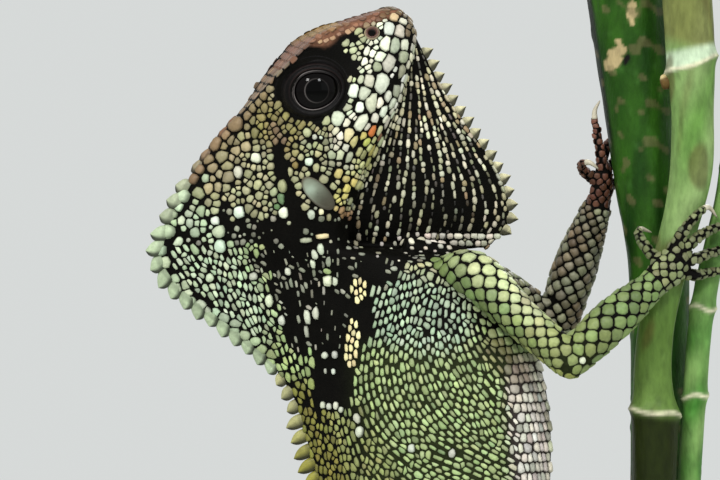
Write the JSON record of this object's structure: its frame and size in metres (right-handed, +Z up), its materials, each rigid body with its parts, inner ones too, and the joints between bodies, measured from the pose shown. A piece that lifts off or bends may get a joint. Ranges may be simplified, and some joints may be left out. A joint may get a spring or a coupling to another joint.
{
  "type": "helmeted iguana",
  "caption": "Life-size helmeted iguana in green and brown, with a toothed casque, back crest and throat pouch, clinging head up to a cane and a dark stem on a plain display stand.",
  "frame": {"origin": "centre of the display base, at the level of its underside", "axes": "+Z up towards the lizard's snout, +X from the lizard's back towards the stems it grips, -Y towards the lizard's right side, which the camera faces"},
  "size_m": [0.126, 0.096, 0.3867],
  "materials": {
    "skin_green": "matt, scaly, lime and olive green",
    "skin_dark": "matt, scaly, black between pale scales",
    "skin_casque": "matt, pebbled, grey-green",
    "skin_brown": "matt, scaly, grey-brown",
    "eye": "glossy, near black",
    "cane": "smooth green bark with pale joint rings",
    "stem": "dark green bark with raised pores",
    "stand_wood": "dark, satin",
    "stand_steel": "brushed"
  },
  "bodies": {
    "root": {"head": "skin_dark", "casque": "skin_casque", "throat_pouch": "skin_dark", "eye_right": "eye", "eye_left": "eye", "neck": "skin_dark", "torso": "skin_green", "hips": "skin_green", "tail_1": "skin_green", "tail_2": "skin_green", "tail_3": "skin_green", "tail_4": "skin_green", "tail_5": "skin_green", "upper_arm_right": "skin_green", "forearm_right": "skin_green", "hand_right": "skin_brown", "upper_arm_left": "skin_brown", "forearm_left": "skin_brown", "hand_left": "skin_brown", "thigh_right": "skin_green", "shin_right": "skin_green", "foot_right": "skin_brown", "thigh_left": "skin_brown", "shin_left": "skin_brown", "foot_left": "skin_brown", "perch_cane": "cane", "perch_stem": "stem", "stand_base": "stand_wood", "stand_rod_cane": "stand_steel", "stand_rod_stem": "stand_steel"}
  },
  "joints": []
}
